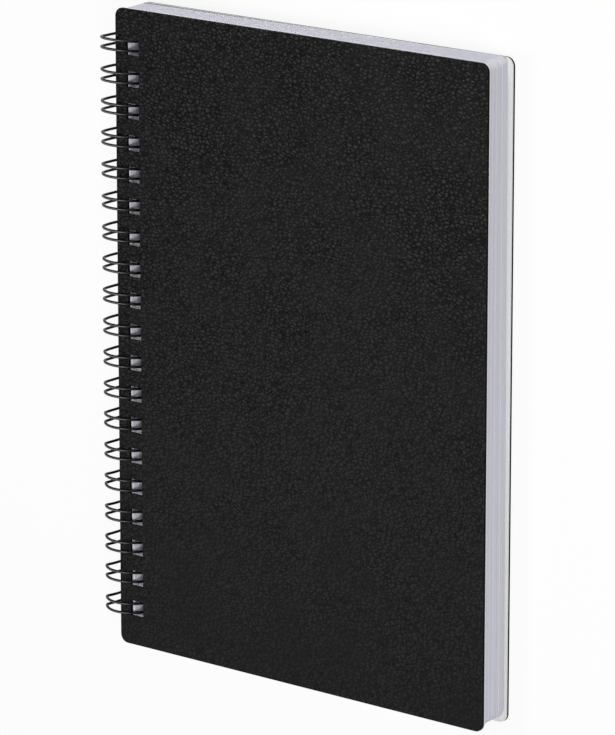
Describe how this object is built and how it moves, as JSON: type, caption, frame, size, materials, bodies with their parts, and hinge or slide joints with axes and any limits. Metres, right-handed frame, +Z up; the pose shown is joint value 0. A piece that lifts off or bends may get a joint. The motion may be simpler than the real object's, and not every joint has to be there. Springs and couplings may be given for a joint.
{
  "type": "spiral notebook",
  "caption": "Closed notebook with black leather-grained covers, white linings and pages, bound along the spine by a twin-loop wire comb.",
  "frame": {"origin": "on the table, under the middle of the closed notebook's bounding box", "axes": "+X from the rings to the fore-edge, +Y from the foot to the head of the pages, +Z up, out of the front cover"},
  "size_m": [0.1946, 0.259, 0.0227],
  "materials": {
    "cover_board": "black leather grain, low sheen",
    "lining_paper": "smooth white paper",
    "page_paper": "uncoated white paper",
    "coated_wire": "black nylon-coated steel wire, semi-gloss"
  },
  "bodies": {
    "back_cover": {"back_cover": "cover_board", "back_lining": "lining_paper"},
    "pages": {"page_block": "page_paper", "wire_binding": "coated_wire"},
    "front_cover": {"front_cover": "cover_board", "front_lining": "lining_paper"}
  },
  "joints": [
    {"name": "back_cover_hinge", "type": "hinge", "parent": "back_cover", "child": "pages", "pos_m": [-0.08597, 0, 0.01137], "axis": [0, -1, 0], "range_deg": [0, 180]},
    {"name": "front_cover_hinge", "type": "hinge", "parent": "pages", "child": "front_cover", "pos_m": [-0.08597, 0, 0.01137], "axis": [0, -1, 0], "range_deg": [0, 180]}
  ]
}
